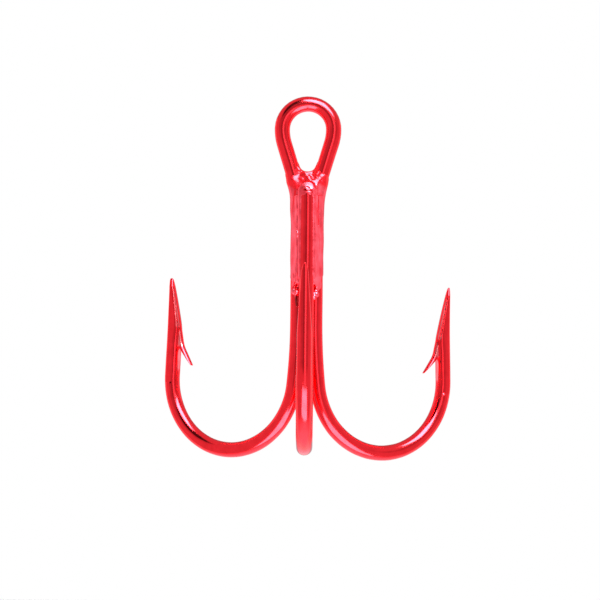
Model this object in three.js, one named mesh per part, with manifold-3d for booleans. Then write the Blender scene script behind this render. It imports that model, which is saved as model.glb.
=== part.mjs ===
// A treble fishing hook: one wire bent into an eye and two hooks, a second wire bent into a
// third hook, and the braze that joins their shanks.
// Millimetres and degrees. The origin is the centre of the eye, +Z runs up the shank and
// the third hook points to -Y.

import * as THREE from "three";
import { mergeVertices } from "three/addons/utils/BufferGeometryUtils.js";
import Module from "manifold-3d";

// The wire and the shank. Three wires stand in a ring round the shank's axis, and the eye
// is bent in the plane of the two rear ones.
const WIRE_RADIUS = 0.8;
const BUNDLE_RADIUS = 1.02; // shank axis to each wire's centre
const SHANK_AXIS_Y = -BUNDLE_RADIUS / 2;
const SHANK_DROP = 33.44; // eye centre to the lowest point of a bend's centreline
const HALF_SPACING = 60; // half the angle between two neighbouring wires

// Directions round the shank, turned from +X towards +Y.
const WIRE_WAYS = { front: -90, right: 30, left: 150 };
const SEAM_WAYS = { left: -150, right: -30, rear: 90 };

// Every hook's bend: a long easing arc out of the shank, then the round of the bend.
const EASE_RADIUS = 53;
const EASE_ANGLE = 7;
const BEND_RADIUS = 7.67;

// The three hooks are bent by hand and differ a little. turn is the hook's direction round
// the shank, lean is how far its leg leans back in, drop is how much lower its bend lies,
// and rise is the height of its point above the bend's lowest centre.
const LEFT_HOOK = { turn: -120, lean: 3, drop: 0, rise: 18.3 };
const RIGHT_HOOK = { turn: 120, lean: 1.1, drop: 0.22, rise: 17.5 };
const FRONT_HOOK = { turn: 0.7, lean: 2, drop: 0.11, rise: 17.8 };

// The eye: a half circle on two shoulders, whose legs run in to the shank.
const EYE_RADIUS = 2.69; // to the wire's centreline
const SHOULDER_RADIUS = 5.2;
const NECK_RADIUS = 8;
const LEG_ANGLE = 17;

// The point is the round wire cut by two facets that meet in a knife edge on the inside.
// Places on it are [down, inward] from the point's tip, down the leg and in from its back.
const FACET_ANGLE = 34; // between a facet and the hook's plane
const TIP = [0, 0.1];
const BARB_BEND = [7.07, 1.9]; // where the barb is lifted out of the knife edge
const BARB_TIP = [9.3, 3.1];
const BARB_UNDERSIDE = [9.4, 2.86];
const NOTCH = [7.05, 1.36]; // the deepest place of the chisel's cut
const SCAR_MIDDLE = [9.5, 1.47];
const SCAR_END = [11.4, 1.8]; // past where the cut runs out of the wire
const BARB_ROOT = [5.4, 1.1]; // inside the wire

// The solids that cut the point reach well past the wire.
const CUTTER = { thick: 3, wide: 6, long: 14, lead: 3 };
const PLATE_WIDTH = 2.4 * WIRE_RADIUS;

// The braze. Heights are above the lowest point of the left bend's centreline.
const FIT_GAP = 0.04; // between braze and wire
const SEAM_GAP = 0.04; // between one deposit and the next
const SEAM_CONTACT_ANGLE = 10; // where a seam's face leaves the wire
const SEAM_SAG = 0.07;
const SEAM_HALF_NECK = 0.12; // seam and core stop this far from the narrowest place
const SEAM_TOP = 25.5; // where the two rear wires part for the eye
const LEFT_SEAM_FOOT = 16.5;
const RIGHT_SEAM_FOOT = 15.7;
const REAR_SEAM_FOOT = 16.1;
const CORE_FOOT = 15.2;
const THIRD_WIRE_TOP = 27.2;
const WEB_TOP = 29.2; // the lowest point of the eye's hole
const WEB_ARC_RADIUS = 1.07;
const WEB_THICKNESS = 1.2;
const BLOB_RADII = [1.05, 0.95, 1.1];
const BLOB_HEIGHT = 27.7;
const BLOB_Y = -1;

// How finely round shapes are faceted.
const WIRE_STEP = 0.75;
const CIRCLE_SEGMENTS = 6; // three.js doubles this on a full circle
const ARC_SEGMENTS = 5;
const BLOB_SEGMENTS = 16;
const MERGE_DISTANCE = 1e-4;

const LACQUER = { color: 0xe3202c, roughness: 0.22, metalness: 0.55 };
const LACQUERED_BRAZE = { color: 0xe8303c, roughness: 0.34, metalness: 0.45 };

const UP = new THREE.Vector3(0, 0, 1);
const rad = THREE.MathUtils.degToRad;
const aboveBend = (height) => height - SHANK_DROP;

// The eye's arc centres and leg ends, [x, z] on its right half.
const EYE_PLACES = (() => {
  const sine = Math.sin(rad(LEG_ANGLE));
  const inset = 1 - Math.cos(rad(LEG_ANGLE));
  const shankX = BUNDLE_RADIUS * Math.sin(rad(RIGHT_HOOK.turn));
  const legTop = [EYE_RADIUS - SHOULDER_RADIUS * inset, -SHOULDER_RADIUS * sine];
  const footX = shankX + NECK_RADIUS * inset;
  const legFoot = [footX, legTop[1] - (legTop[0] - footX) / Math.tan(rad(LEG_ANGLE))];
  const shoulder = [EYE_RADIUS - SHOULDER_RADIUS, 0];
  const neck = [shankX + NECK_RADIUS, legFoot[1] - NECK_RADIUS * sine];
  return { crown: [0, 0], shoulder, legTop, legFoot, neck, shankX };
})();

const wasm = await Module();
wasm.setup();

// ---------------------------------------------------------------- solids

function solidOf(geometry) {
  const bare = geometry.clone();
  bare.deleteAttribute("normal");
  bare.deleteAttribute("uv");
  const merged = mergeVertices(bare, MERGE_DISTANCE);
  const mesh = new wasm.Mesh({
    numProp: 3,
    vertProperties: merged.attributes.position.array,
    triVerts: new Uint32Array(merged.index.array),
  });
  return new wasm.Manifold(mesh);
}

function geometryOf(solid) {
  const mesh = solid.getMesh();
  const geometry = new THREE.BufferGeometry();
  geometry.setAttribute("position", new THREE.BufferAttribute(mesh.vertProperties, 3));
  geometry.setIndex(new THREE.BufferAttribute(mesh.triVerts, 1));
  geometry.computeVertexNormals();
  return geometry;
}

function namedMesh(name, solid, finish) {
  const mesh = new THREE.Mesh(geometryOf(solid), new THREE.MeshStandardMaterial(finish));
  mesh.name = name;
  return mesh;
}

// A shape drawn in x and y, extruded up +Z from one height to another.
function extruded(shape, low, high) {
  const settings = { depth: high - low, bevelEnabled: false, curveSegments: ARC_SEGMENTS };
  return new THREE.ExtrudeGeometry(shape, settings).translate(0, 0, low);
}

// ---------------------------------------------------------------- wire paths

// An arc in an upright plane: angles are turned from the sideways direction to +Z.
class UprightArc extends THREE.Curve {
  constructor(centre, sideways, radius, from, to) {
    super();
    Object.assign(this, { centre, sideways, radius, from: rad(from), to: rad(to) });
  }

  getPoint(t, target = new THREE.Vector3()) {
    const angle = THREE.MathUtils.lerp(this.from, this.to, t);
    return target
      .copy(this.centre)
      .addScaledVector(this.sideways, this.radius * Math.cos(angle))
      .addScaledVector(UP, this.radius * Math.sin(angle));
  }
}

class Reversed extends THREE.Curve {
  constructor(curve) {
    super();
    this.curve = curve;
  }

  getPoint(t, target) {
    return this.curve.getPoint(1 - t, target);
  }
}

function reversed(curves) {
  return curves.map((curve) => new Reversed(curve)).reverse();
}

// One half of the eye, from its crown down to where its wire stands straight in the shank.
// side is 1 for the right half and -1 for the left.
function eyeHalf(side) {
  const sideways = new THREE.Vector3(side, 0, 0);
  const at = (x, z) => new THREE.Vector3(side * x, 0, z);
  const { crown, shoulder, legTop, legFoot, neck } = EYE_PLACES;
  return [
    new UprightArc(at(...crown), sideways, EYE_RADIUS, 90, 0),
    new UprightArc(at(...shoulder), sideways, SHOULDER_RADIUS, 0, -LEG_ANGLE),
    new THREE.LineCurve3(at(...legTop), at(...legFoot)),
    new UprightArc(at(...neck), sideways, NECK_RADIUS, 180 - LEG_ANGLE, 180),
  ];
}

// A hook from the top of its shank wire down, round the bend and up to its point.
// pointFrame turns [inward, sideways, up the leg] into the part's own coordinates.
function hookPath(hook, topZ) {
  const outward = new THREE.Vector3(Math.sin(rad(hook.turn)), -Math.cos(rad(hook.turn)), 0);
  const at = (r, z) => new THREE.Vector3(0, SHANK_AXIS_Y, z).addScaledVector(outward, r);
  const bottomZ = -SHANK_DROP - hook.drop;
  const ease = rad(EASE_ANGLE);
  const lean = rad(hook.lean);
  const bendZ = bottomZ + BEND_RADIUS;
  const easeZ = bendZ + (EASE_RADIUS - BEND_RADIUS) * Math.sin(ease);
  const easeR = BUNDLE_RADIUS + EASE_RADIUS;
  const bendR = easeR - (EASE_RADIUS - BEND_RADIUS) * Math.cos(ease);
  const bendEnd = at(bendR + BEND_RADIUS * Math.cos(lean), bendZ + BEND_RADIUS * Math.sin(lean));
  const legWay = outward.clone().multiplyScalar(-Math.sin(lean)).addScaledVector(UP, Math.cos(lean));
  const legLength = (bottomZ + hook.rise - bendEnd.z) / Math.cos(lean);
  const legEnd = bendEnd.clone().addScaledVector(legWay, legLength);
  const curves = [
    new THREE.LineCurve3(at(BUNDLE_RADIUS, topZ), at(BUNDLE_RADIUS, easeZ)),
    new UprightArc(at(easeR, easeZ), outward, EASE_RADIUS, 180, 180 + EASE_ANGLE),
    new UprightArc(at(bendR, bendZ), outward, BEND_RADIUS, 180 + EASE_ANGLE, 360 + hook.lean),
    new THREE.LineCurve3(bendEnd, legEnd),
  ];
  const inward = outward.clone().multiplyScalar(-Math.cos(lean)).addScaledVector(UP, -Math.sin(lean));
  const across = legWay.clone().cross(inward);
  const pointFrame = new THREE.Matrix4()
    .makeBasis(inward, across, legWay)
    .setPosition(legEnd.clone().addScaledVector(inward, -WIRE_RADIUS));
  return { curves, pointFrame };
}

function wireSolid(curves, radius) {
  const path = new THREE.CurvePath();
  path.curves.push(...curves);
  const section = new THREE.Shape().absarc(0, 0, radius, 0, 2 * Math.PI);
  const steps = Math.ceil(path.getLength() / WIRE_STEP);
  const settings = { steps, extrudePath: path, curveSegments: CIRCLE_SEGMENTS };
  return solidOf(new THREE.ExtrudeGeometry(section, settings));
}

// ---------------------------------------------------------------- the point and its barb

// Two blocks that cut a knife edge along the line through two [down, inward] places.
function facetCutters([down, inward], [farDown, farInward]) {
  const { thick, wide, long, lead } = CUTTER;
  const start = new THREE.Vector3(inward, 0, -down);
  const edgeWay = new THREE.Vector3(farInward - inward, 0, down - farDown).normalize();
  const edgeNormal = new THREE.Vector3(-edgeWay.z, 0, edgeWay.x);
  const across = new THREE.Vector3(0, 1, 0);
  const [sine, cosine] = [Math.sin(rad(FACET_ANGLE)), Math.cos(rad(FACET_ANGLE))];
  return [-1, 1].map((side) => {
    const normal = edgeNormal.clone().multiplyScalar(sine).addScaledVector(across, side * cosine);
    const slope = edgeNormal.clone().multiplyScalar(-cosine).addScaledVector(across, side * sine);
    const centre = start
      .clone()
      .addScaledVector(normal, thick / 2)
      .addScaledVector(edgeWay, long / 2 - lead);
    const placed = new THREE.Matrix4()
      .makeBasis(normal, slope, normal.clone().cross(slope))
      .setPosition(centre);
    return solidOf(new THREE.BoxGeometry(thick, wide, long).applyMatrix4(placed));
  });
}

function cutBy(solid, cutters) {
  return cutters.reduce((left, cutter) => left.subtract(cutter), solid);
}

// A prism across the hook's plane, from an outline of [down, inward] places.
function plate(places) {
  const shape = new THREE.Shape(places.map(([down, inward]) => new THREE.Vector2(inward, -down)));
  return solidOf(extruded(shape, -PLATE_WIDTH / 2, PLATE_WIDTH / 2).rotateX(Math.PI / 2));
}

// The wire's end is cut to a point, nicked by a chisel, and the sliver is bent in as a barb.
function withPoint(wire, pointFrame) {
  const pointFacets = facetCutters(TIP, BARB_BEND);
  const barbFacets = facetCutters(BARB_BEND, BARB_TIP);
  const scarOpening = [SCAR_END[0], BARB_UNDERSIDE[1]];
  const chiselCut = plate([NOTCH, SCAR_MIDDLE, SCAR_END, scarOpening, BARB_UNDERSIDE]);
  const root = cutBy(plate([BARB_ROOT, BARB_BEND, NOTCH]), pointFacets);
  const bladeOutline = [BARB_ROOT, BARB_BEND, BARB_TIP, BARB_UNDERSIDE, NOTCH];
  const blade = cutBy(plate(bladeOutline), barbFacets);
  const placed = (solid) => solid.transform(pointFrame.toArray());
  const removed = [...pointFacets, chiselCut].map(placed);
  return cutBy(wire, removed).add(placed(root)).add(placed(blade));
}

// ---------------------------------------------------------------- the braze

// A seam's section, with x running out through the middle of the groove. It follows the
// two wires from their narrowest place to its slightly sunken face.
function seamShape() {
  const radius = WIRE_RADIUS + FIT_GAP;
  const wireX = BUNDLE_RADIUS * Math.cos(rad(HALF_SPACING));
  const wireY = BUNDLE_RADIUS * Math.sin(rad(HALF_SPACING));
  const inner = Math.acos(SEAM_HALF_NECK / radius);
  const outer = rad(SEAM_CONTACT_ANGLE);
  const faceX = wireX + radius * Math.cos(outer);
  const faceY = wireY - radius * Math.sin(outer);
  return new THREE.Shape()
    .absarc(wireX, -wireY, radius, inner, outer, true)
    .quadraticCurveTo(faceX - 2 * SEAM_SAG, 0, faceX, faceY)
    .absarc(wireX, wireY, radius, -outer, -inner, true);
}

function seamSolid(direction, footHeight) {
  const seam = extruded(seamShape(), aboveBend(footHeight), aboveBend(SEAM_TOP));
  return solidOf(seam.rotateZ(rad(direction)).translate(0, SHANK_AXIS_Y, 0));
}

// The three-cornered core inside the ring of wires.
function coreSolid() {
  const radius = WIRE_RADIUS + FIT_GAP;
  const halfArc = rad(90 - HALF_SPACING) - Math.asin(SEAM_HALF_NECK / radius);
  const shape = new THREE.Shape();
  for (const wireWay of Object.values(WIRE_WAYS).map(rad)) {
    const x = BUNDLE_RADIUS * Math.cos(wireWay);
    const y = BUNDLE_RADIUS * Math.sin(wireWay);
    const inward = wireWay + Math.PI;
    shape.absarc(x, y, radius, inward + halfArc, inward - halfArc, true);
  }
  const core = extruded(shape, aboveBend(CORE_FOOT), aboveBend(SEAM_TOP));
  return solidOf(core.translate(0, SHANK_AXIS_Y, 0));
}

// The web between the eye's legs, and the blob of braze over the third wire's end.
function throatSolid(wires) {
  const { shankX, legFoot: [footX, footZ] } = EYE_PLACES;
  const bottomZ = aboveBend(SEAM_TOP) + SEAM_GAP;
  const arcZ = aboveBend(WEB_TOP) + WEB_ARC_RADIUS;
  const brimZ = arcZ - WEB_ARC_RADIUS * Math.sin(rad(LEG_ANGLE));
  const brimX = footX + (brimZ - footZ) * Math.tan(rad(LEG_ANGLE));
  const outline = new THREE.Shape();
  outline.moveTo(-shankX, bottomZ);
  outline.lineTo(shankX, bottomZ);
  outline.lineTo(footX, footZ);
  outline.lineTo(brimX, brimZ);
  outline.absarc(0, arcZ, WEB_ARC_RADIUS, rad(-LEG_ANGLE), rad(180 + LEG_ANGLE), true);
  outline.lineTo(-brimX, brimZ);
  outline.lineTo(-footX, footZ);
  const web = extruded(outline, -WEB_THICKNESS / 2, WEB_THICKNESS / 2).rotateX(Math.PI / 2);
  const blob = new THREE.SphereGeometry(1, BLOB_SEGMENTS, BLOB_SEGMENTS / 2)
    .scale(...BLOB_RADII)
    .translate(0, BLOB_Y, aboveBend(BLOB_HEIGHT));
  return cutBy(solidOf(web).add(solidOf(blob)), wires);
}

// ---------------------------------------------------------------- the hook

const neckZ = EYE_PLACES.neck[1];
const thirdWireZ = aboveBend(THIRD_WIRE_TOP);
const left = hookPath(LEFT_HOOK, neckZ);
const right = hookPath(RIGHT_HOOK, neckZ);
const front = hookPath(FRONT_HOOK, thirdWireZ);
const eye = [...reversed(eyeHalf(-1)), ...eyeHalf(1)];
const doubleWire = [...reversed(left.curves), ...eye, ...right.curves];

const doubleHook = [left, right].reduce(
  (wire, { pointFrame }) => withPoint(wire, pointFrame),
  wireSolid(doubleWire, WIRE_RADIUS),
);
const singleHook = withPoint(wireSolid(front.curves, WIRE_RADIUS), front.pointFrame);

// The wires as the throat's braze fits round them, with its clearance.
const fittedWires = [doubleWire, hookPath(FRONT_HOOK, thirdWireZ + FIT_GAP).curves].map((curves) =>
  wireSolid(curves, WIRE_RADIUS + FIT_GAP),
);

const trebleHook = new THREE.Group();
trebleHook.name = "treble_hook";
trebleHook.add(
  namedMesh("double_hook", doubleHook, LACQUER),
  namedMesh("single_hook", singleHook, LACQUER),
  namedMesh("braze_throat", throatSolid(fittedWires), LACQUERED_BRAZE),
  namedMesh("braze_left_seam", seamSolid(SEAM_WAYS.left, LEFT_SEAM_FOOT), LACQUERED_BRAZE),
  namedMesh("braze_right_seam", seamSolid(SEAM_WAYS.right, RIGHT_SEAM_FOOT), LACQUERED_BRAZE),
  namedMesh("braze_rear_seam", seamSolid(SEAM_WAYS.rear, REAR_SEAM_FOOT), LACQUERED_BRAZE),
  namedMesh("braze_core", coreSolid(), LACQUERED_BRAZE),
);

export default trebleHook;
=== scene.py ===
"""A red lacquered treble fishing hook, in metres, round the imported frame.

Sizes below are in millimetres and degrees, and become metres where meshes are made. The
origin is the centre of the eye, +Z runs up the shank, and the third hook points to -Y.
Heights are above the lowest point of the left bend's centreline.
"""
import math

import bpy
import bmesh
import numpy as np
from mathutils import Matrix, Vector


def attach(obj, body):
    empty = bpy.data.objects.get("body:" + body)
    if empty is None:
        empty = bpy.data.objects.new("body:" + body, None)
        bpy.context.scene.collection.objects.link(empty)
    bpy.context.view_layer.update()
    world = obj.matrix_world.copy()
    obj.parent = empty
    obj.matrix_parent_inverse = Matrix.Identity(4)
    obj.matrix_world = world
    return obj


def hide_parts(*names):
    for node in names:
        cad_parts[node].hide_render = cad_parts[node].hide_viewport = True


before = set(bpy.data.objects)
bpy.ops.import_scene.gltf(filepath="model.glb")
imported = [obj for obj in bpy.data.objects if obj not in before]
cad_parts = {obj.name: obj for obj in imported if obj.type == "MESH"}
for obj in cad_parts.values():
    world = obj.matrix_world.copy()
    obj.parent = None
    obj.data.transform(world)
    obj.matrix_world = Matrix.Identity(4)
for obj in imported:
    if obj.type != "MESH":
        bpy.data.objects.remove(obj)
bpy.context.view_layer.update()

MM = 0.001
UP = np.array([0.0, 0.0, 1.0])

# The wire and the shank, as in the frame.
WIRE_RADIUS = 0.8
BUNDLE_RADIUS = 1.02  # from the shank's axis to each wire's centre
WIRE_GAP_HALF = 60  # half of the turn from one wire to the next, round the shank's axis
SHANK_AXIS_Y = -BUNDLE_RADIUS / 2
SHANK_DROP = 33.44  # from the eye's centre down to height zero
EASE_RADIUS = 53  # the wires part in a long arc before the round bend
EASE_ANGLE = 7
BEND_RADIUS = 7.67
EYE_RADIUS = 2.69
SHOULDER_RADIUS = 5.2
NECK_RADIUS = 8
LEG_ANGLE = 17  # how far the eye's straight legs lean
THIRD_WIRE_TOP = 27.2
WIRE_WAYS = {"front": -90, "right": 30, "left": 150}
SEAM_WAYS = {"left": -150, "right": -30, "rear": 90}

# The three hooks. Each point's places are [down, inward]: down the leg from its tip and in
# from its back. They say where its knife edge starts, where the barb is lifted and ends.
HOOKS = {
    "left": {"turn": -120, "lean": 3, "drop": 0, "rise": 18.3,
             "tip": (-0.14, 0.36), "barb_bend": (7.07, 2.06), "barb_tip": (9.13, 3.3)},
    "right": {"turn": 120, "lean": 1.1, "drop": 0.22, "rise": 17.5,
              "tip": (-0.4, 0.2), "barb_bend": (7.0, 2.03), "barb_tip": (8.84, 3.32)},
    "front": {"turn": 0.7, "lean": 2, "drop": 0.11, "rise": 17.8,
              "tip": (0.05, 0.32), "barb_bend": (7.05, 2.02), "barb_tip": (9.0, 3.27)},
}

# The cut point. A point's places are [down, inward] here too.
POINT_CUT = 60  # how far the point's facets turn from the knife's plane
BLADE_CUT = 43  # the same for the blade, the narrower ridge that ends in the barb
FLAT_HALF = 0.18  # half of the flat along the knife's back
SIDES = ((0, 0.05), (0.3, 0.21), (0.9, 0.36), (7, 0.76))  # down from the tip, half the width
NOTCH = (7.15, 1.5)  # where the barb leaves the wire
SCAR = (NOTCH, (9.5, 1.56), (11.4, 1.8))  # the bared wire that the barb was lifted from
BLADE_TOP = 4.6  # the blade starts this far down
BLADE_HALF = 0.36
BLADE_FOOT = 0.85  # the blade reaches this far in from the back
ROLL_OUT = 0.16  # how far the tip turns out, over its first ROLL_LENGTH
ROLL_LENGTH = 5.5
BARB_END = 0.13  # how thick the barb still is at its tip
EDGE_ROUND = 0.13
TIP_ROUND = 0.12
MARK_FADE = 0.04  # how far the edge of thin lacquer fades
BARB_MARK = 0.3  # and how far it fades where the barb starts
TIP_MARK = (0.6, 1.4)  # the lacquer is thick down to the first of these
NOTCH_SHADE = ((7.6, 1.5), 0.16)  # painted shade in the notch at the barb's root: its place [down, inward] and radius
NOTCH_SHADE_STRETCH = 1.6
NOTCH_SHADE_HALF = 0.5  # the painted shade is full from this far out on each side
POINT_REACH = 11  # the point's own mesh ends this far down
POINT_STEP = 0.045

# The braze. Its seams have nearly flat faces, level with the wires on both sides.
FACE_DEPTH = BUNDLE_RADIUS * math.cos(math.radians(WIRE_GAP_HALF)) + WIRE_RADIUS
FACE_RAISE = {"left": -0.01, "right": 0.05, "rear": 0}
FACE_SWELL = 0.03
FACE_WEAR = 0.055
SEAM_FEET = {"left": 16.9, "right": 16.5, "rear": 16.2}
SEAM_FOOT_WANDER = 0.5
SEAM_FADE = 0.6
SEAM_DEPTH = 0.9  # how far the face sinks below the seam's foot
GROOVE = (-0.92, -1.57, 0.25)  # beside the third wire: across, back, radius
GROOVE_WANDER = 0.1
GROOVE_BLEND = 0.1
CORE_FOOT = 15.0
SHANK_BRAZE_TOP = 27
THIN_TOP = 27.6  # below this the lacquer on the braze is thin and pale
THIN_FADE = 0.5
THIN_WANDER = 0.3
CORE_REACH = 0.3  # past each wire's centre
FILM = 0.045  # the braze that runs out over the wires
FILM_ENDS = {"low": 17.3, "high": 28.6}
FILM_FADES = {"low": 1.6, "high": 1.8}
FILM_WANDERS = {"low": 0.5, "high": 0.2}
FILM_WEAR = 0.5  # the share of the film that comes and goes
FILM_DROP = 0.3  # how far the film sinks into the wire where there is none
FILM_EDGE = 1.45  # the third wire is bare in front of this
FILM_EDGE_FADE = 0.2
NECK_FILM = 0.11  # more film round the throat, most at NECK_HEIGHT
NECK_HEIGHT = 27.3
NECK_REACH = 5
# The web between the eye's legs, and the foot of the eye's hole in it.
WEB_BACK = 0.5
WEB_ARC_RADIUS = 0.85
WEB_ARC_HEIGHT = 28.94 + WEB_ARC_RADIUS
WEB_SIDE_ANGLE = 21  # how far the hole's sides spread above its arc
# The throat's front: across, back, height, and the turn and rise it faces.
THROAT_FACES = [
    (0.7, -0.92, 28.3, 13, 26),
    (-0.3, -1.0, 28.2, -24, 2),
    (-0.5, -0.6, 29.1, -30, 26),
]
# Lumps of braze, each across, back, height and radius.
THROAT_LUMPS = [
    (0.04, -1.46, 26.5, 0.86),
    (-0.66, -1.3, 27.0, 0.3),
    (1.02, -0.5, 28.6, 0.5),
    (-0.98, -0.5, 29.1, 0.34),
    (-0.5, 0.4, 28.3, 0.45),
    (0.55, 0.45, 27.8, 0.5),
    (0.05, 0.5, 26.8, 0.55),
]
SEAM_LUMPS = [
    (-1.28, -0.84, 16.35, 0.34),
    (-1.0, -1.2, 16.2, 0.26),
    (1.0, -1.28, 16.0, 0.34),
    (0.78, -1.58, 15.6, 0.24),
]
# How softly the shapes run into each other.
LUMP_BLEND = 0.2
WEB_BLEND = 0.2
FACE_BLEND = 0.15
HOLE_BLEND = 0.25
FILLET = 0.3
LUMPY_DEPTH = 0.03
CREASE_DEPTH = 0.028
# A dark run below the left seam, a rod of braze coloured near black as painted shade in the gap
# between the wires: its ends, each across, back and height, and its radius.
SHADED_GAP_RUN = ((-1.12, -0.82, 16.0), (-0.98, -0.83, 14.7), 0.1)
# Cracks in the shank's braze, the same way.
CRACKS = [
    ((-1.27, -0.93, 26.8), (-1.5, -0.53, 23.7), 0.1),
    ((1.1, -1.25, 26.4), (1.2, -1.08, 23.2), 0.09),
    ((-1.13, -1.16, 17.2), (-1.6, -0.4, 16.5), 0.1),
]
CRACK_WANDER = 0.06
CRACK_POOL_AND_SHADE = 0.06  # the lacquer is thick this far round a crack, pooled there, and its deep red paints the crack's shade
GAP_SHADE_REACH = 0.1  # how far round the dark run the painted shade reaches
# How far the edge of the painted shade fades.
PAINTED_SHADE_FADE = 0.08
BITE = 0.12  # how deep the braze reaches into the wires
SINK = 0.5  # where two braze meshes meet, each end dives under the other
SINK_REACH = 0.4
BRAZE_STEP = 0.055
# The boxes that hold the two braze meshes, each across, back and height.
SHANK_BOX = ((-1.9, -2.5, 14.4), (1.9, 1.0, 26.7))
THROAT_BOX = ((-2.9, -2.7, 25.8), (2.9, 1.1, 30.6))

SAMPLE_STEP = 0.05  # between the points of a centreline
RING_STEP = 0.4
RING_SIDES = 48
CAP_HEIGHT = 0.4
CAP_ROWS = 5
RIPPLE = 0.005  # how far drawn wire and lacquer wander from true


# ------------------------------------------------------------------ wire centrelines

def sine(angle):
    return math.sin(math.radians(angle))


def cosine(angle):
    return math.cos(math.radians(angle))


def studio_way(turn_angle, rise):
    """A direction turned from the front (-Y) towards +X, and up."""
    flat = cosine(rise)
    return np.array([sine(turn_angle) * flat, -cosine(turn_angle) * flat, sine(rise)])


def arc(centre, sideways, radius, start, end):
    """Points on an upright arc. Angles turn from the sideways direction to +Z."""
    count = math.ceil(radius * math.radians(abs(end - start)) / SAMPLE_STEP)
    angles = np.radians(np.linspace(start, end, count + 1))[:, None]
    return centre + radius * (np.cos(angles) * sideways + np.sin(angles) * UP)


def line(start, end):
    count = math.ceil(np.linalg.norm(end - start) / SAMPLE_STEP)
    return np.linspace(start, end, count + 1)


def outward_way(hook):
    return np.array([sine(hook["turn"]), -cosine(hook["turn"]), 0])


def hook_stretches(hook, top):
    """From the top of the shank wire down, round the bend and up to the point."""
    outward = outward_way(hook)

    def at(reach, z):
        return np.array([0, SHANK_AXIS_Y, z]) + reach * outward

    lean = hook["lean"]
    bottom = -SHANK_DROP - hook["drop"]
    bend_z = bottom + BEND_RADIUS
    ease_z = bend_z + (EASE_RADIUS - BEND_RADIUS) * sine(EASE_ANGLE)
    ease_reach = BUNDLE_RADIUS + EASE_RADIUS
    bend_reach = ease_reach - (EASE_RADIUS - BEND_RADIUS) * cosine(EASE_ANGLE)
    leg_foot = at(bend_reach + BEND_RADIUS * cosine(lean), bend_z + BEND_RADIUS * sine(lean))
    leg_length = (bottom + hook["rise"] - leg_foot[2]) / cosine(lean)
    leg_way = UP * cosine(lean) - outward * sine(lean)
    return [
        line(at(BUNDLE_RADIUS, top), at(BUNDLE_RADIUS, ease_z)),
        arc(at(ease_reach, ease_z), outward, EASE_RADIUS, 180, 180 + EASE_ANGLE),
        arc(at(bend_reach, bend_z), outward, BEND_RADIUS, 180 + EASE_ANGLE, 360 + lean),
        line(leg_foot, leg_foot + leg_length * leg_way),
    ]


def eye_stretches(side):
    """Half of the eye, from its crown down to its neck. side is 1 for +X and -1 for -X."""
    sideways = np.array([side, 0, 0])
    inset = 1 - cosine(LEG_ANGLE)
    shank_x = BUNDLE_RADIUS * cosine(WIRE_WAYS["right"])
    top_x = EYE_RADIUS - SHOULDER_RADIUS * inset
    top_z = -SHOULDER_RADIUS * sine(LEG_ANGLE)
    foot_x = shank_x + NECK_RADIUS * inset
    foot_z = top_z - (top_x - foot_x) / math.tan(math.radians(LEG_ANGLE))
    neck_z = foot_z - NECK_RADIUS * sine(LEG_ANGLE)

    def at(x, z):
        return np.array([side * x, 0, z])

    return [
        arc(at(0, 0), sideways, EYE_RADIUS, 90, 0),
        arc(at(EYE_RADIUS - SHOULDER_RADIUS, 0), sideways, SHOULDER_RADIUS, 0, -LEG_ANGLE),
        line(at(top_x, top_z), at(foot_x, foot_z)),
        arc(at(shank_x + NECK_RADIUS, neck_z), sideways, NECK_RADIUS, 180 - LEG_ANGLE, 180),
    ]


def backwards(stretches):
    return [points[::-1] for points in reversed(stretches)]


class Centreline:
    """A wire's centreline, measured by the distance along it."""

    def __init__(self, stretches):
        points = np.vstack(stretches)
        fresh = np.ones(len(points), bool)
        fresh[1:] = np.linalg.norm(np.diff(points, axis=0), axis=1) > SAMPLE_STEP / 100
        self.points = points[fresh]
        steps = np.linalg.norm(np.diff(self.points, axis=0), axis=1)
        self.along = np.concatenate([[0], np.cumsum(steps)])
        self.length = self.along[-1]
        self.ways = np.gradient(self.points, self.along, axis=0)

    def place(self, distance):
        return np.stack([np.interp(distance, self.along, axis) for axis in self.points.T], -1)

    def way(self, distance):
        way = np.stack([np.interp(distance, self.along, axis) for axis in self.ways.T], -1)
        return way / np.linalg.norm(way, axis=-1, keepdims=True)

    def wire_depth(self, points):
        """Signed distance to the wire's surface. The centreline must rise all the way."""
        distance = np.interp(points[:, 2], self.points[:, 2], self.along)
        for _ in range(3):
            gap = points - self.place(distance)
            distance = np.clip(distance + (gap * self.way(distance)).sum(-1), 0, self.length)
        return np.linalg.norm(points - self.place(distance), axis=-1) - WIRE_RADIUS


eye_left = eye_stretches(-1)
eye_right = eye_stretches(1)
neck_z = eye_right[-1][-1][2]  # the eye's legs end here, upright
left = hook_stretches(HOOKS["left"], neck_z)
right = hook_stretches(HOOKS["right"], neck_z)
front = hook_stretches(HOOKS["front"], THIRD_WIRE_TOP - CAP_HEIGHT - SHANK_DROP)

double_line = Centreline(backwards(left) + backwards(eye_left) + eye_right + right)
single_line = Centreline(front)
left_riser = Centreline(backwards(left[:2]) + backwards(eye_left))
right_riser = Centreline(backwards(right[:2]) + backwards(eye_right))
front_riser = Centreline(backwards(front[:2]))
risers = (left_riser, right_riser, front_riser)


# ------------------------------------------------------------------ implicit shapes

def smooth_max(a, b, blend):
    near = np.clip(1 - np.abs(a - b) / blend, 0, 1)
    return np.maximum(a, b) + near * near * blend / 4


def smooth_min(a, b, blend):
    return -smooth_max(-a, -b, blend)


def ease(amount):
    amount = np.clip(amount, 0, 1)
    return amount * amount * (3 - 2 * amount)


RIPPLE_STRETCH = np.array([1, 1, 0.45])  # waves run longer up the wire than round it


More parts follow.
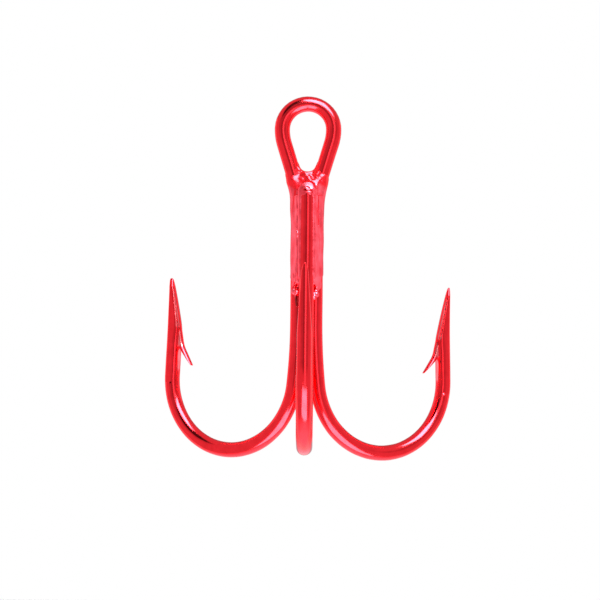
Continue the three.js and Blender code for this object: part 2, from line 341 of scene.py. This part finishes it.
class Wander:
    """Smooth seeded noise in space, from a sum of waves, between about -1 and 1."""

    SPREAD = (0.7, 1.5)  # the waves' lengths, as shares of the wavelength

    def __init__(self, seed, wavelength, waves=12):
        draw = np.random.default_rng(seed)
        ways = draw.normal(size=(waves, 3))
        ways /= np.linalg.norm(ways, axis=1, keepdims=True)
        lengths = wavelength * draw.uniform(*self.SPREAD, size=(waves, 1))
        self.waves = 2 * math.pi * ways / lengths
        self.phases = draw.uniform(0, 2 * math.pi, size=waves)

    def __call__(self, points):
        turns = points @ self.waves.T + self.phases
        return np.sin(turns).sum(-1) / math.sqrt(len(self.phases))


WIRE_RIPPLE = Wander(3, 1.7)
SEAM_RAGGED = Wander(7, 1.1)
SEAM_WORN = Wander(8, 1.5)
FILM_WORN = Wander(9, 1.4)
FILM_RAGGED = Wander(10, 1.2)
THIN_RAGGED = Wander(12, 1.3)
LUMPY = Wander(21, 0.8)
CREASED = Wander(22, 0.5)


CORNERS = np.array([(i, j, k) for i in (0, 1) for j in (0, 1) for k in (0, 1)])
CELL_EDGES = [
    (a, b)
    for a in range(len(CORNERS))
    for b in range(a + 1, len(CORNERS))
    if np.abs(CORNERS[a] - CORNERS[b]).sum() == 1
]


def gradient(field, points, step):
    slopes = []
    for axis in np.eye(3):
        slopes.append((field(points + step * axis) - field(points - step * axis)) / (2 * step))
    return np.stack(slopes, -1)


def unit_rows(rows):
    return rows / np.linalg.norm(rows, axis=1, keepdims=True)


JUST_OUTSIDE = 1e-6  # the share of a step given to a grid point right on the surface
LEAST_SLOPE_SQUARED = 0.2  # so that a flat stretch of a field moves no point far


def settle(field, points, step, rounds=3):
    """Moves points onto the surface where the field is zero."""
    for _ in range(rounds):
        slope = gradient(field, points, step / 4)
        size = np.maximum((slope * slope).sum(-1), LEAST_SLOPE_SQUARED)
        move = -(field(points) / size)[:, None] * slope
        points = points + np.clip(move, -step / 2, step / 2)
    return points


def surface_net(field, low, high, step):
    """(points, quads, cells) of the surface where the field is zero, negative inside it.
    cells holds each point's cell in the grid."""
    axes = [np.arange(a, b + step, step) for a, b in zip(low, high)]
    grid = np.stack(np.meshgrid(*axes, indexing="ij"), -1)
    value = field(grid.reshape(-1, 3)).reshape(grid.shape[:3])
    value[value == 0] = step * JUST_OUTSIDE
    cells_shape = np.array(value.shape) - 1

    def corner(array, offset):
        window = tuple(slice(o, o + n) for o, n in zip(offset, cells_shape))
        return array[window]

    inside = sum(corner(value < 0, offset).astype(int) for offset in CORNERS)
    active = (inside > 0) & (inside < len(CORNERS))
    cells = np.argwhere(active)
    number = np.full(cells_shape, -1)
    number[active] = np.arange(len(cells))

    total = np.zeros((len(cells), 3))
    crossings = np.zeros((len(cells), 1))
    for a, b in CELL_EDGES:
        at_a = corner(value, CORNERS[a])[active]
        at_b = corner(value, CORNERS[b])[active]
        crossed = (at_a < 0) != (at_b < 0)
        share = np.where(crossed, at_a / np.where(crossed, at_a - at_b, 1), 0)[:, None]
        place = CORNERS[a] + share * (CORNERS[b] - CORNERS[a])
        total += place * crossed[:, None]
        crossings += crossed[:, None]
    points = np.array(low) + step * (cells + total / crossings)

    quads = []
    for axis in range(3):
        u, v = [other for other in range(3) if other != axis]
        unit = np.eye(3, dtype=int)
        first = [slice(None)] * 3
        second = [slice(None)] * 3
        first[axis] = slice(None, -1)
        second[axis] = slice(1, None)
        crossed = (value[tuple(first)] < 0) != (value[tuple(second)] < 0)
        edges = np.argwhere(crossed)
        inner = (edges[:, [u, v]] > 0).all(1) & (edges[:, [u, v]] < cells_shape[[u, v]]).all(1)
        edges = edges[inner]
        ring = [edges, edges - unit[u], edges - unit[u] - unit[v], edges - unit[v]]
        quads.append(np.stack([number[tuple(cell.T)] for cell in ring], -1))
    quads = np.vstack(quads)
    return settle(field, points, step), quads, cells


# ------------------------------------------------------------------ meshes

def mesh_object(name, points, faces, marks, normals):
    """A closed, smooth-shaded object from points in millimetres. marks says how thin each
    point's lacquer is and how much painted shade it carries, from 0 to 1. A normal of zero is
    left to Blender."""
    shape = bmesh.new()
    corners = [shape.verts.new(Vector(point) * MM) for point in points]
    for face in faces:
        shape.faces.new([corners[i] for i in face])
    bmesh.ops.recalc_face_normals(shape, faces=shape.faces)
    shape.normal_update()
    rises = RIPPLE * MM * WIRE_RIPPLE(np.asarray(points) * RIPPLE_STRETCH)
    for corner, rise in zip(corners, rises):
        corner.co += corner.normal * rise
    mesh = bpy.data.meshes.new(name)
    shape.to_mesh(mesh)
    shape.free()
    mesh.shade_smooth()
    mesh.normals_split_custom_set_from_vertices(normals.tolist())
    for mark, values in zip(("thin", "painted_shade"), marks.T):
        attribute = mesh.attributes.new(mark, "FLOAT", "POINT")
        attribute.data.foreach_set("value", np.ascontiguousarray(values))
    made = bpy.data.objects.new(name, mesh)
    bpy.context.scene.collection.objects.link(made)
    return made


def zipped(ring_a, angles_a, ring_b, angles_b):
    """Triangles that join two rings of vertices round the same axis."""
    order_a = np.argsort(angles_a)
    order_b = np.argsort(angles_b)
    ring_a, angles_a = np.array(ring_a)[order_a], np.array(angles_a)[order_a]
    ring_b, angles_b = np.array(ring_b)[order_b], np.array(angles_b)[order_b]
    angles_a = np.append(angles_a, angles_a[0] + 2 * math.pi)
    angles_b = np.append(angles_b, angles_b[0] + 2 * math.pi)
    triangles = []
    a = b = 0
    while a < len(ring_a) or b < len(ring_b):
        here_a = ring_a[a % len(ring_a)]
        here_b = ring_b[b % len(ring_b)]
        if b == len(ring_b) or (a < len(ring_a) and angles_a[a + 1] < angles_b[b + 1]):
            a += 1
            triangles.append((here_a, ring_a[a % len(ring_a)], here_b))
        else:
            b += 1
            triangles.append((here_a, ring_b[b % len(ring_b)], here_b))
    return triangles


def point_places(points):
    """Places in from the back, across and down, of points round the wire's axis."""
    across, down = points[:, 1], points[:, 2]
    roll = ROLL_OUT * np.clip(1 - down / ROLL_LENGTH, 0, None) ** 2
    return points[:, 0] + WIRE_RADIUS + roll, across, down


def side_half(hook, down):
    return np.interp(down - hook["tip"][0], *zip(*SIDES))


def point_marks(hook, points):
    """Thin lacquer on the facets ground into the wire, and painted shade in the notch at the
    barb's root.
    """
    inward, across, down = point_places(points)
    across = np.abs(across)
    under_tube = WIRE_RADIUS - np.hypot(inward - WIRE_RADIUS, across)
    off_tube = np.where(inward > WIRE_RADIUS, np.abs(under_tube), under_tube)
    ground = ease((off_tube - MARK_FADE / 2) / MARK_FADE)
    knife = np.interp(down, *zip(hook["tip"], hook["barb_bend"], hook["barb_tip"]))
    near_knife = ease((inward - knife + 2 * MARK_FADE) / MARK_FADE)
    flat = ease((FLAT_HALF + MARK_FADE - across) / MARK_FADE) * near_knife
    cheek = ease((across - side_half(hook, down) + 2 * MARK_FADE) / MARK_FADE)
    past_bend = ease((down - hook["barb_bend"][0] + BARB_MARK / 3) / BARB_MARK)
    barb = past_bend * ease((inward - NOTCH[1]) / (BARB_MARK / 2))
    past_tip = ease((down - TIP_MARK[0]) / (TIP_MARK[1] - TIP_MARK[0]))
    thin = ground * (1 - flat) * (1 - cheek) * past_tip * (1 - barb)
    # Painted shade: near black in the notch under the barb.
    (shade_down, shade_in), shade_radius = NOTCH_SHADE
    off_shade = np.hypot((down - shade_down) / NOTCH_SHADE_STRETCH, inward - shade_in)
    off_shade = np.hypot(off_shade, np.clip(NOTCH_SHADE_HALF - across, 0, None))
    painted_shade = ease((shade_radius - off_shade) / PAINTED_SHADE_FADE)
    return np.stack([thin, painted_shade], -1)


def point_field(hook):
    """The cut point's field, over [inward, across, down] round its wire's own axis."""
    def slope_between(start, end):
        return (end[1] - start[1]) / (end[0] - start[0])

    def facets(start, end, turn_angle, inward, across, down):
        slope = slope_between(start, end)
        above = (inward - start[1] - slope * (down - start[0])) / math.hypot(1, slope)
        side = above * sine(turn_angle) + (np.abs(across) - FLAT_HALF) * cosine(turn_angle)
        return smooth_max(above, side, EDGE_ROUND)

    def field(points):
        inward, across, down = point_places(points)
        tube = np.hypot(inward - WIRE_RADIUS, across) - WIRE_RADIUS
        shape = (inward, across, down)
        point_cut = facets(hook["tip"], hook["barb_bend"], POINT_CUT, *shape)
        blade_cut = facets(hook["tip"], hook["barb_bend"], BLADE_CUT, *shape)
        barb_cut = facets(hook["barb_bend"], hook["barb_tip"], BLADE_CUT, *shape)
        wire = smooth_max(tube, point_cut, EDGE_ROUND)
        wire = smooth_max(wire, np.abs(across) - side_half(hook, down), EDGE_ROUND)
        wire = smooth_max(wire, hook["tip"][0] - down, TIP_ROUND)
        floor = inward - np.interp(down, *zip(*SCAR))
        barb_down, barb_in = hook["barb_tip"]
        slope = slope_between(NOTCH, (barb_down, barb_in - BARB_END))
        below_barb = (slope * (down - NOTCH[0]) - (inward - NOTCH[1])) / math.hypot(1, slope)
        wire = smooth_max(wire, smooth_min(floor, below_barb, EDGE_ROUND), EDGE_ROUND)
        barb = smooth_max(smooth_min(blade_cut, barb_cut, EDGE_ROUND), below_barb, EDGE_ROUND / 2)
        barb_end = (down - barb_down + slope * (inward - barb_in)) / math.hypot(1, slope)
        foot = BLADE_FOOT - inward
        for limit in (BLADE_TOP - down, foot, np.abs(across) - BLADE_HALF, barb_end):
            barb = smooth_max(barb, limit, EDGE_ROUND / 2)
        return np.minimum(wire, barb)

    return field


def point_shape(hook, centreline, from_end):
    """(points, quads, ring, ring angles, marks, normals) of a hook's point, placed on its
    wire. from_end says that the point is at the centreline's far end."""
    edge = 2 * POINT_STEP
    low = (-WIRE_RADIUS - ROLL_OUT - edge, -WIRE_RADIUS - edge, hook["tip"][0] - edge)
    high = (hook["barb_tip"][1], WIRE_RADIUS + edge, POINT_REACH)
    field = point_field(hook)
    local, quads, cells = surface_net(field, low, high, POINT_STEP)
    ring = np.flatnonzero(cells[:, 2] == cells[:, 2].max())
    local[ring, 2] = POINT_REACH
    distance = local[:, 2]
    way_sign = 1
    if from_end:
        distance = centreline.length - distance
        way_sign = -1
    across = np.cross(outward_way(hook), UP)
    way = way_sign * centreline.way(np.clip(distance, 0, centreline.length))
    inward = np.cross(way, across)
    over = np.clip(-local[:, 2:3], 0, None)  # a little past the centreline's end
    place = centreline.place(distance) - over * way
    points = place + local[:, 0:1] * inward + local[:, 1:2] * across
    angles = np.arctan2(local[ring, 1], local[ring, 0])
    slope = unit_rows(gradient(field, local, POINT_STEP / 2))
    normals = slope[:, 0:1] * inward + slope[:, 1:2] * across + slope[:, 2:3] * way
    return points, quads, ring, angles, point_marks(hook, local), normals


def tube_rings(centreline, start, end):
    """Rings of points round a centreline, with no twist."""
    count = math.ceil((end - start) / RING_STEP)
    distances = np.linspace(start, end, count + 1)
    places = centreline.place(distances)
    ways = centreline.way(distances)
    side = np.array([1.0, 0, 0])
    angles = 2 * math.pi * np.arange(RING_SIDES) / RING_SIDES
    rings = []
    for place, way in zip(places, ways):
        side = side - way * side.dot(way)
        side = side / np.linalg.norm(side)
        other = np.cross(way, side)
        circle = np.cos(angles)[:, None] * side + np.sin(angles)[:, None] * other
        rings.append(place + WIRE_RADIUS * circle)
    return np.array(rings)


def ring_angles(ring, hook, way):
    """Each ring point's angle in its hook's own directions."""
    across = np.cross(outward_way(hook), UP)
    inward = np.cross(way, across)
    spokes = ring - ring.mean(0)
    return np.arctan2(spokes @ across, spokes @ inward)


def ring_faces(ring, next_ring):
    """Quads between two rings that have as many vertices as each other."""
    around = np.roll(ring, -1)
    next_around = np.roll(next_ring, -1)
    return [tuple(quad) for quad in np.stack([ring, around, next_around, next_ring], -1)]


class MeshParts:
    """Points with their marks and normals, and faces, gathered for one object."""

    def __init__(self):
        self.points = []
        self.marks = []
        self.normals = []
        self.faces = []
        self.total = 0

    def add(self, points, marks=None, normals=None):
        """Adds points and gives their numbers."""
        count = len(points)
        self.points.append(points)
        self.marks.append(np.zeros((count, 2)) if marks is None else marks)
        self.normals.append(np.zeros((count, 3)) if normals is None else normals)
        numbers = self.total + np.arange(count)
        self.total += count
        return numbers

    def made(self, name):
        rows = [np.vstack(part) for part in (self.points, self.marks, self.normals)]
        return mesh_object(name, rows[0], self.faces, rows[1], rows[2])


def add_point(parts, hook, centreline, from_end, ring, ring_numbers, way):
    """A hook's point, joined to the last ring of its wire. way runs into the wire."""
    points, quads, edge, edge_angles, marks, normals = point_shape(hook, centreline, from_end)
    numbers = parts.add(points, marks, normals)
    parts.faces.extend(tuple(quad) for quad in numbers[quads])
    angles = ring_angles(ring, hook, way)
    parts.faces.extend(zipped(ring_numbers, angles, numbers[edge], edge_angles))


def add_cap(parts, ring, ring_numbers, out):
    """A low dome on the last ring of a wire."""
    centre = ring.mean(0)
    for turn in np.radians(np.linspace(0, 90, CAP_ROWS + 1)[1:-1]):
        dome = centre + (ring - centre) * math.cos(turn)
        numbers = parts.add(dome + out * CAP_HEIGHT * math.sin(turn))
        parts.faces.extend(ring_faces(ring_numbers, numbers))
        ring_numbers = numbers
    parts.faces.append(tuple(ring_numbers))


def wire_object(name, centreline, ends):
    """A wire with a hook's point, or a round cap, at each end. ends holds a hook or None."""
    start = POINT_REACH + POINT_STEP if ends[0] else 0
    end = centreline.length - (POINT_REACH + POINT_STEP if ends[1] else 0)
    rings = tube_rings(centreline, start, end)
    parts = MeshParts()
    numbers = [parts.add(ring) for ring in rings]
    for here, there in zip(numbers, numbers[1:]):
        parts.faces.extend(ring_faces(here, there))
    for from_end, hook in zip((False, True), ends):
        row = -1 if from_end else 0
        way = -centreline.way(end) if from_end else centreline.way(start)
        if hook:
            add_point(parts, hook, centreline, from_end, rings[row], numbers[row], way)
        else:
            add_cap(parts, rings[row], numbers[row], -way)
    return parts.made(name)


# ------------------------------------------------------------------ the braze

def round_shank(points):
    """Points with the shank's axis at the origin and z as a height."""
    return points - np.array([0, SHANK_AXIS_Y, -SHANK_DROP])


def way_at(angle):
    return np.array([cosine(angle), sine(angle)])


def shank_fill(points):
    """The braze that fills the grooves between the three straight wires."""
    local = round_shank(points)
    flat = local[:, :2]
    height = local[:, 2]
    ragged = SEAM_RAGGED(points)
    worn = SEAM_WORN(points * RIPPLE_STRETCH)
    fill = CORE_FOOT - height
    fill = np.maximum(fill, height - SHANK_BRAZE_TOP)
    for wire_way in WIRE_WAYS.values():
        fill = np.maximum(fill, flat @ way_at(wire_way) - BUNDLE_RADIUS - CORE_REACH)
    contact = BUNDLE_RADIUS * sine(WIRE_GAP_HALF)
    for seam, seam_way in SEAM_WAYS.items():
        out = flat @ way_at(seam_way)
        side = flat @ way_at(seam_way + 90)
        foot = SEAM_FEET[seam] + SEAM_FOOT_WANDER * ragged
        gone = ease((foot - height) / SEAM_FADE + 0.5)
        swell = FACE_RAISE[seam] + FACE_SWELL * (1 - (side / contact) ** 2) + FACE_WEAR * worn
        fill = np.maximum(fill, out - FACE_DEPTH - swell + SEAM_DEPTH * gone)
    across, back, radius = GROOVE
    groove = np.hypot(points[:, 0] - across - GROOVE_WANDER * ragged, points[:, 1] - back)
    fill = smooth_max(fill, radius - groove, GROOVE_BLEND)
    fill = with_lumps(fill, points, SEAM_LUMPS)
    wavy = CRACK_WANDER * ragged
    for start, end, radius in CRACKS:
        fill = np.maximum(fill, radius - run_distance(points, start, end) - wavy)
    # The dark run: a rod of braze in the gap below the left seam, coloured as painted shade.
    start, end, radius = SHADED_GAP_RUN
    return smooth_min(fill, run_distance(points, start, end) - radius - wavy, GROOVE_BLEND)


def run_distance(points, start, end):
    """Distance to a straight run between two places [across, back, height]."""
    start = np.array(start) - SHANK_DROP * UP
    run = np.array(end) - SHANK_DROP * UP - start
    share = np.clip((points - start) @ run / run.dot(run), 0, 1)
    return np.linalg.norm(points - start - share[:, None] * run, axis=1)


def with_lumps(fill, points, lumps):
    for across, back, height, radius in lumps:
        centre = np.array([across, back, height - SHANK_DROP])
        lump = np.linalg.norm(points - centre, axis=1) - radius
        fill = smooth_min(fill, lump, LUMP_BLEND)
    return fill


def film_depth(points):
    """How thick the braze lies on the wires. It is below zero where there is none."""
    height = points[:, 2] + SHANK_DROP
    worn = FILM_WORN(points * RIPPLE_STRETCH)
    ragged = FILM_RAGGED(points)
    foot = FILM_ENDS["low"] + FILM_WANDERS["low"] * ragged
    top = FILM_ENDS["high"] + FILM_WANDERS["high"] * ragged
    low = ease((height - foot) / FILM_FADES["low"] + 0.5)
    high = ease((top - height) / FILM_FADES["high"] + 0.5)
    bare = ease((SHANK_AXIS_Y - points[:, 1] - FILM_EDGE) / FILM_EDGE_FADE)
    neck = NECK_FILM * ease(1 - np.abs(height - NECK_HEIGHT) / NECK_REACH)
    film = FILM * (1 + FILM_WEAR * worn) + neck
    return film - FILM_DROP * (1 - low * high * (1 - bare))


def throat_fill(points):
    """The lumpy web between the eye's legs, sloping down to the third wire's end."""
    x, y, z = points.T
    height = z + SHANK_DROP
    leg_x = np.interp(z, right_riser.points[:, 2], right_riser.points[:, 0])
    fill = smooth_max(y - WEB_BACK, np.abs(x) - leg_x, WEB_BLEND)
    for across, back, up, turn_angle, rise in THROAT_FACES:
        face = (points - np.array([across, back, up - SHANK_DROP])) @ studio_way(turn_angle, rise)
        fill = smooth_max(fill, face, FACE_BLEND)
    rough = LUMPY_DEPTH * LUMPY(points) + CREASE_DEPTH * CREASED(points)
    fill = with_lumps(fill, points, THROAT_LUMPS) + rough
    rise = height - WEB_ARC_HEIGHT
    past_arc = np.abs(x) * sine(WEB_SIDE_ANGLE) + rise * cosine(WEB_SIDE_ANGLE) > 0
    beside = np.abs(x) * cosine(WEB_SIDE_ANGLE) - rise * sine(WEB_SIDE_ANGLE)
    hole = WEB_ARC_RADIUS - np.where(past_arc, beside, np.hypot(x, rise))
    return smooth_max(fill, hole, HOLE_BLEND)


def braze_marks(points):
    """Thin lacquer below the eye's legs, but thick along the cracks, where it pools and carries
    painted shade; and painted shade on the dark run in the gap below the left seam.
    """
    height = points[:, 2] + SHANK_DROP
    thin = ease((THIN_TOP + THIN_WANDER * THIN_RAGGED(points) - height) / THIN_FADE)
    # Along the cracks the lacquer stays thick and deep red: pooled lacquer and painted shade.
    for start, end, radius in CRACKS:
        thin = thin * ease((run_distance(points, start, end) - radius) / CRACK_POOL_AND_SHADE)
    # Painted shade on the dark run in the gap below the left seam.
    start, end, radius = SHADED_GAP_RUN
    painted_shade = ease((radius + GAP_SHADE_REACH - run_distance(points, start, end)) / PAINTED_SHADE_FADE)
    return np.stack([thin, painted_shade], -1)


def braze_object(name, fill, low, high):
    """Braze that runs out over the wires in a thin film, from one height to another."""
    def field(points):
        wire = np.min([riser.wire_depth(points) for riser in risers], axis=0)
        height = points[:, 2] + SHANK_DROP
        ends = np.maximum(low[2] - height, height - high[2])
        sink = ease(1 + ends / SINK_REACH) * SINK
        wetted = smooth_min(fill(points), wire - film_depth(points), FILLET) + sink
        return np.maximum(np.maximum(wetted, ends), -wire - BITE)

    edge = 2 * BRAZE_STEP
    start = np.array(low) - edge - UP * SHANK_DROP
    end = np.array(high) + edge - UP * SHANK_DROP
    points, quads, _ = surface_net(field, start, end, BRAZE_STEP)
    normals = unit_rows(gradient(field, points, BRAZE_STEP / 2))
    faces = [tuple(quad) for quad in quads]
    return mesh_object(name, points, faces, braze_marks(points), normals)


# ------------------------------------------------------------------ the hook

double_hook = wire_object("double_hook_wire", double_line, (HOOKS["left"], HOOKS["right"]))
single_hook = wire_object("single_hook_wire", single_line, (None, HOOKS["front"]))
shank_braze = braze_object("shank_braze", shank_fill, *SHANK_BOX)
throat_braze = braze_object("throat_braze", throat_fill, *THROAT_BOX)

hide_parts("double_hook")
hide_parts("single_hook")
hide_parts("braze_left_seam", "braze_right_seam", "braze_rear_seam", "braze_core")
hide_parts("braze_throat")


# ------------------------------------------------------------------ materials

def add_node(material, kind, **values):
    """A node with its inputs set by socket name, underscores for spaces."""
    node = material.node_tree.nodes.new(kind)
    for name, value in values.items():
        node.inputs[name.replace("_", " ")].default_value = value
    return node


# Deep and bright tints of the lacquer: thick, thin on ground wire, thin on braze.
THICK = ((0.8, 0.003, 0.011), (0.93, 0.008, 0.02))
GROUND = ((0.78, 0.08, 0.1), (0.9, 0.17, 0.19))
BRAZED = ((0.72, 0.025, 0.045), (0.88, 0.08, 0.115))
# The near black of the painted shade in the barbs' notches and in the gap below the left seam.
PAINTED_SHADE = (0.16, 0.001, 0.002)
GLANCING = (1, 0.38, 0.44)  # the tint of reflections at the wire's edges
COAT = 0.4
NOISE_LOW, NOISE_HIGH = 0.3, 0.7  # most of a noise's values lie between these
# A colour mix node's sockets, which share their names with its other kinds' sockets.
MIX_SHARE, MIX_FIRST, MIX_SECOND, MIX_COLOUR = 0, 6, 7, 2


def noise(material, **settings):
    """Noise in a piece's own coordinates."""
    place = material.node_tree.nodes.new("ShaderNodeTexCoord")
    texture = add_node(material, "ShaderNodeTexNoise", **settings)
    material.node_tree.links.new(place.outputs["Object"], texture.inputs["Vector"])
    return texture.outputs["Fac"]


def tint(material, pooling, deep, bright):
    """A colour that runs from deep to bright with the noise."""
    ramp = material.node_tree.nodes.new("ShaderNodeValToRGB")
    low, high = ramp.color_ramp.elements
    low.position = NOISE_LOW
    low.color = (*deep, 1)
    high.position = NOISE_HIGH
    high.color = (*bright, 1)
    material.node_tree.links.new(pooling, ramp.inputs["Fac"])
    return ramp.outputs["Color"]


def marked(material, mark, plain, second):
    """The plain colour, with a second one where the mesh carries the mark."""
    links = material.node_tree.links
    share = material.node_tree.nodes.new("ShaderNodeAttribute")
    share.attribute_name = mark
    mix = material.node_tree.nodes.new("ShaderNodeMix")
    mix.data_type = "RGBA"
    links.new(share.outputs["Fac"], mix.inputs[MIX_SHARE])
    links.new(plain, mix.inputs[MIX_FIRST])
    links.new(second, mix.inputs[MIX_SECOND])
    return mix.outputs[MIX_COLOUR]


def lacquer_colour(material, thin_tint):
    """Deep red with brighter clouds, paler where the lacquer is thin, and near black with painted
    shade where the mesh carries that mark.
    """
    pooling = noise(material, Scale=1100, Detail=3, Roughness=0.6)
    thick = tint(material, pooling, *THICK)
    thin = tint(material, pooling, *thin_tint)
    # Near black where the mesh carries painted shade.
    painted_shade = material.node_tree.nodes.new("ShaderNodeRGB").outputs["Color"]
    painted_shade.default_value = (*PAINTED_SHADE, 1)
    clean = marked(material, "thin", thick, thin)
    return marked(material, "painted_shade", clean, painted_shade)


def lacquer_roughness(material, least, most):
    haze = noise(material, Scale=2500, Detail=4, Roughness=0.65)
    spread = add_node(
        material, "ShaderNodeMapRange",
        From_Min=NOISE_LOW, From_Max=NOISE_HIGH, To_Min=least, To_Max=most,
    )
    material.node_tree.links.new(haze, spread.inputs["Value"])
    return spread.outputs["Result"]


def lacquer_relief(material, depth):
    grain = noise(material, Scale=1300, Detail=1, Roughness=0.4)
    relief = add_node(material, "ShaderNodeBump", Strength=1, Distance=depth * MM)
    material.node_tree.links.new(grain, relief.inputs["Height"])
    return relief.outputs["Normal"]


def lacquer(name, thin_tint, roughness, coat_roughness, relief_depth):
    """Clear red lacquer over bright metal."""
    made = bpy.data.materials.new(name)
    made.use_nodes = True
    links = made.node_tree.links
    sockets = made.node_tree.nodes["Principled BSDF"].inputs
    sockets["Metallic"].default_value = 1
    sockets["Specular Tint"].default_value = (*GLANCING, 1)
    sockets["Coat Weight"].default_value = COAT
    sockets["Coat Roughness"].default_value = coat_roughness
    normal = lacquer_relief(made, relief_depth)
    links.new(lacquer_colour(made, thin_tint), sockets["Base Color"])
    links.new(lacquer_roughness(made, *roughness), sockets["Roughness"])
    links.new(normal, sockets["Normal"])
    links.new(normal, sockets["Coat Normal"])
    return made


wire_lacquer = lacquer(
    "wire_lacquer", GROUND, roughness=(0.08, 0.16), coat_roughness=0.16, relief_depth=0.004
)
braze_lacquer = lacquer(
    "braze_lacquer", BRAZED, roughness=(0.26, 0.4), coat_roughness=0.26, relief_depth=0.014
)
for piece in (double_hook, single_hook):
    piece.data.materials.append(wire_lacquer)
for piece in (shank_braze, throat_braze):
    piece.data.materials.append(braze_lacquer)
for piece in (double_hook, single_hook, shank_braze, throat_braze):
    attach(piece, "root")

# ------------------------------------------------------------------ camera and light

AIM = Vector((-0.68, 0.06, -17.92)) * MM
CAMERA_DISTANCE = 270.7 * MM
CAMERA_TURN = -1.44
CAMERA_RISE = -5
CAMERA_ROLL = 0.51
LENS = 156

turn = Matrix.Rotation(math.radians(-CAMERA_TURN), 4, "Z")
tilt = Matrix.Rotation(math.radians(90 - CAMERA_RISE), 4, "X")
roll = Matrix.Rotation(math.radians(CAMERA_ROLL), 4, "Z")
lens = bpy.data.cameras.new("camera")
lens.lens = LENS
lens.sensor_width = 36
lens.clip_start = 0.01
camera = bpy.data.objects.new("camera", lens)
pose = turn @ tilt @ roll
camera.matrix_world = Matrix.Translation(AIM) @ pose @ Matrix.Translation((0, 0, CAMERA_DISTANCE))
bpy.context.scene.collection.objects.link(camera)
bpy.context.scene.camera = camera

# The lights stand round the hook. Their places are turned from the front (-Y) towards +X,
# and up.
STUDIO_CENTRE = Vector((0, 0, -16)) * MM
STUDIO_REACH = 400 * MM
SOFTBOXES = {
    # turn, rise, width and height in degrees as seen from the hook, radiance
    "key": (22, 48, 38, 38, 30),
    "low_fill": (12, -50, 60, 44, 11),
    "strip": (16, 2, 8, 50, 2.8),
    "left_strip": (-122, -5, 26, 60, 0.92),
    "right_strip": (122, -5, 26, 60, 0.86),
}
# Soft patches of the surroundings: turn, rise, how wide they are fully felt and where they
# end, and their light. Everything else is SURROUND.
SURROUND = 0.87
PATCHES = {
    "flag": (-27, 44, 17, 27, 0.07),
    "under_key": (45, 14, 8, 22, 0.6),
    "lens": (-9, 8, 6, 19, 0.4),
    "behind": (180, 22, 22, 44, 0.6),
    "ground": (180, -62, 20, 56, 3),
    "low_flag": (-38, 18, 8, 22, 0.6),
}
FLOOR_Z = -60 * MM
FLOOR_HALF = 380 * MM
FLOOR_GREY = 0.66


def softbox(name, turn_angle, rise, width, height, radiance):
    light = bpy.data.lights.new(name, "AREA")
    light.shape = "RECTANGLE"
    light.size = 2 * STUDIO_REACH * math.tan(math.radians(width / 2))
    light.size_y = 2 * STUDIO_REACH * math.tan(math.radians(height / 2))
    light.energy = radiance * math.pi * light.size * light.size_y
    way = Vector(studio_way(turn_angle, rise))
    made = bpy.data.objects.new(name, light)
    made.location = STUDIO_CENTRE + STUDIO_REACH * way
    made.rotation_euler = way.to_track_quat("Z", "Y").to_euler()
    made.visible_camera = False
    bpy.context.scene.collection.objects.link(made)


def studio_world():
    """White to the camera, and pale with soft patches, dark or bright, to everything else."""
    world = bpy.data.worlds.new("studio")
    bpy.context.scene.world = world
    world.use_nodes = True
    nodes = world.node_tree.nodes
    links = world.node_tree.links
    place = nodes.new("ShaderNodeTexCoord")
    light = nodes.new("ShaderNodeValue").outputs["Value"]
    light.default_value = SURROUND
    for turn_angle, rise, full, none, patch_light in PATCHES.values():
        toward = nodes.new("ShaderNodeVectorMath")
        toward.operation = "DOT_PRODUCT"
        toward.inputs[1].default_value = studio_way(turn_angle, rise)
        links.new(place.outputs["Generated"], toward.inputs[0])
        shade = nodes.new("ShaderNodeMapRange")
        shade.interpolation_type = "SMOOTHSTEP"
        shade.inputs["From Min"].default_value = cosine(none)
        shade.inputs["From Max"].default_value = cosine(full)
        shade.inputs["To Min"].default_value = 1
        shade.inputs["To Max"].default_value = patch_light / SURROUND
        links.new(toward.outputs["Value"], shade.inputs["Value"])
        dimmed = nodes.new("ShaderNodeMath")
        dimmed.operation = "MULTIPLY"
        links.new(light, dimmed.inputs[0])
        links.new(shade.outputs["Result"], dimmed.inputs[1])
        light = dimmed.outputs["Value"]
    seen = nodes.new("ShaderNodeLightPath")
    strength = nodes.new("ShaderNodeMath")
    strength.operation = "MAXIMUM"
    links.new(light, strength.inputs[0])
    links.new(seen.outputs["Is Camera Ray"], strength.inputs[1])
    background = nodes["Background"]
    background.inputs["Color"].default_value = (1, 1, 1, 1)
    links.new(strength.outputs["Value"], background.inputs["Strength"])


def floor():
    mesh = bpy.data.meshes.new("floor")
    signs = ((-1, -1), (1, -1), (1, 1), (-1, 1))
    corners = [(x * FLOOR_HALF, y * FLOOR_HALF, FLOOR_Z) for x, y in signs]
    mesh.from_pydata(corners, [], [(0, 1, 2, 3)])
    made = bpy.data.objects.new("floor", mesh)
    paint = bpy.data.materials.new("floor_paint")
    paint.use_nodes = True
    shader = paint.node_tree.nodes["Principled BSDF"]
    shader.inputs["Base Color"].default_value = (FLOOR_GREY, FLOOR_GREY, FLOOR_GREY, 1)
    shader.inputs["Roughness"].default_value = 1
    shader.inputs["Specular IOR Level"].default_value = 0
    mesh.materials.append(paint)
    made.visible_glossy = False
    made.visible_shadow = False
    bpy.context.scene.collection.objects.link(made)


for box_name, settings in SOFTBOXES.items():
    softbox(box_name, *settings)
studio_world()
floor()
bpy.context.scene.view_settings.view_transform = "Standard"
